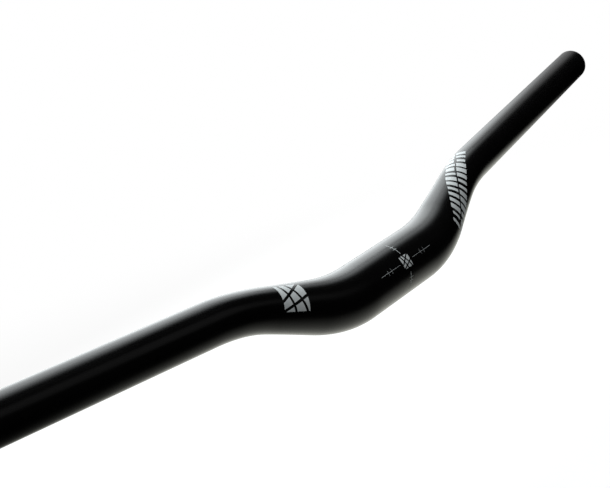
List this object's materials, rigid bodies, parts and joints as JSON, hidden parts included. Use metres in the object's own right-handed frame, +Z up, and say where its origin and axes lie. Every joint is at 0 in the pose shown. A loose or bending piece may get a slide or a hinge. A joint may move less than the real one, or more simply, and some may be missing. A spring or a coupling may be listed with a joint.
{
  "type": "riser handlebar",
  "caption": "Bicycle riser handlebar: a black butted aluminium tube with a thick clamp zone, double bends on each side and open grip ends.",
  "frame": {"origin": "middle of the stem clamp zone, on the axis of the tube", "axes": "+X along the bar, +Y towards the rider (back sweep), +Z up (rise), with the bar turned in its stem as it is ridden"},
  "size_m": [0.728, 0.0642, 0.0677],
  "materials": {
    "tube": "satin black anodised, finely shot peened",
    "print": "thin pale grey pad print"
  },
  "bodies": {
    "root": {"handlebar": "tube"}
  },
  "joints": []
}
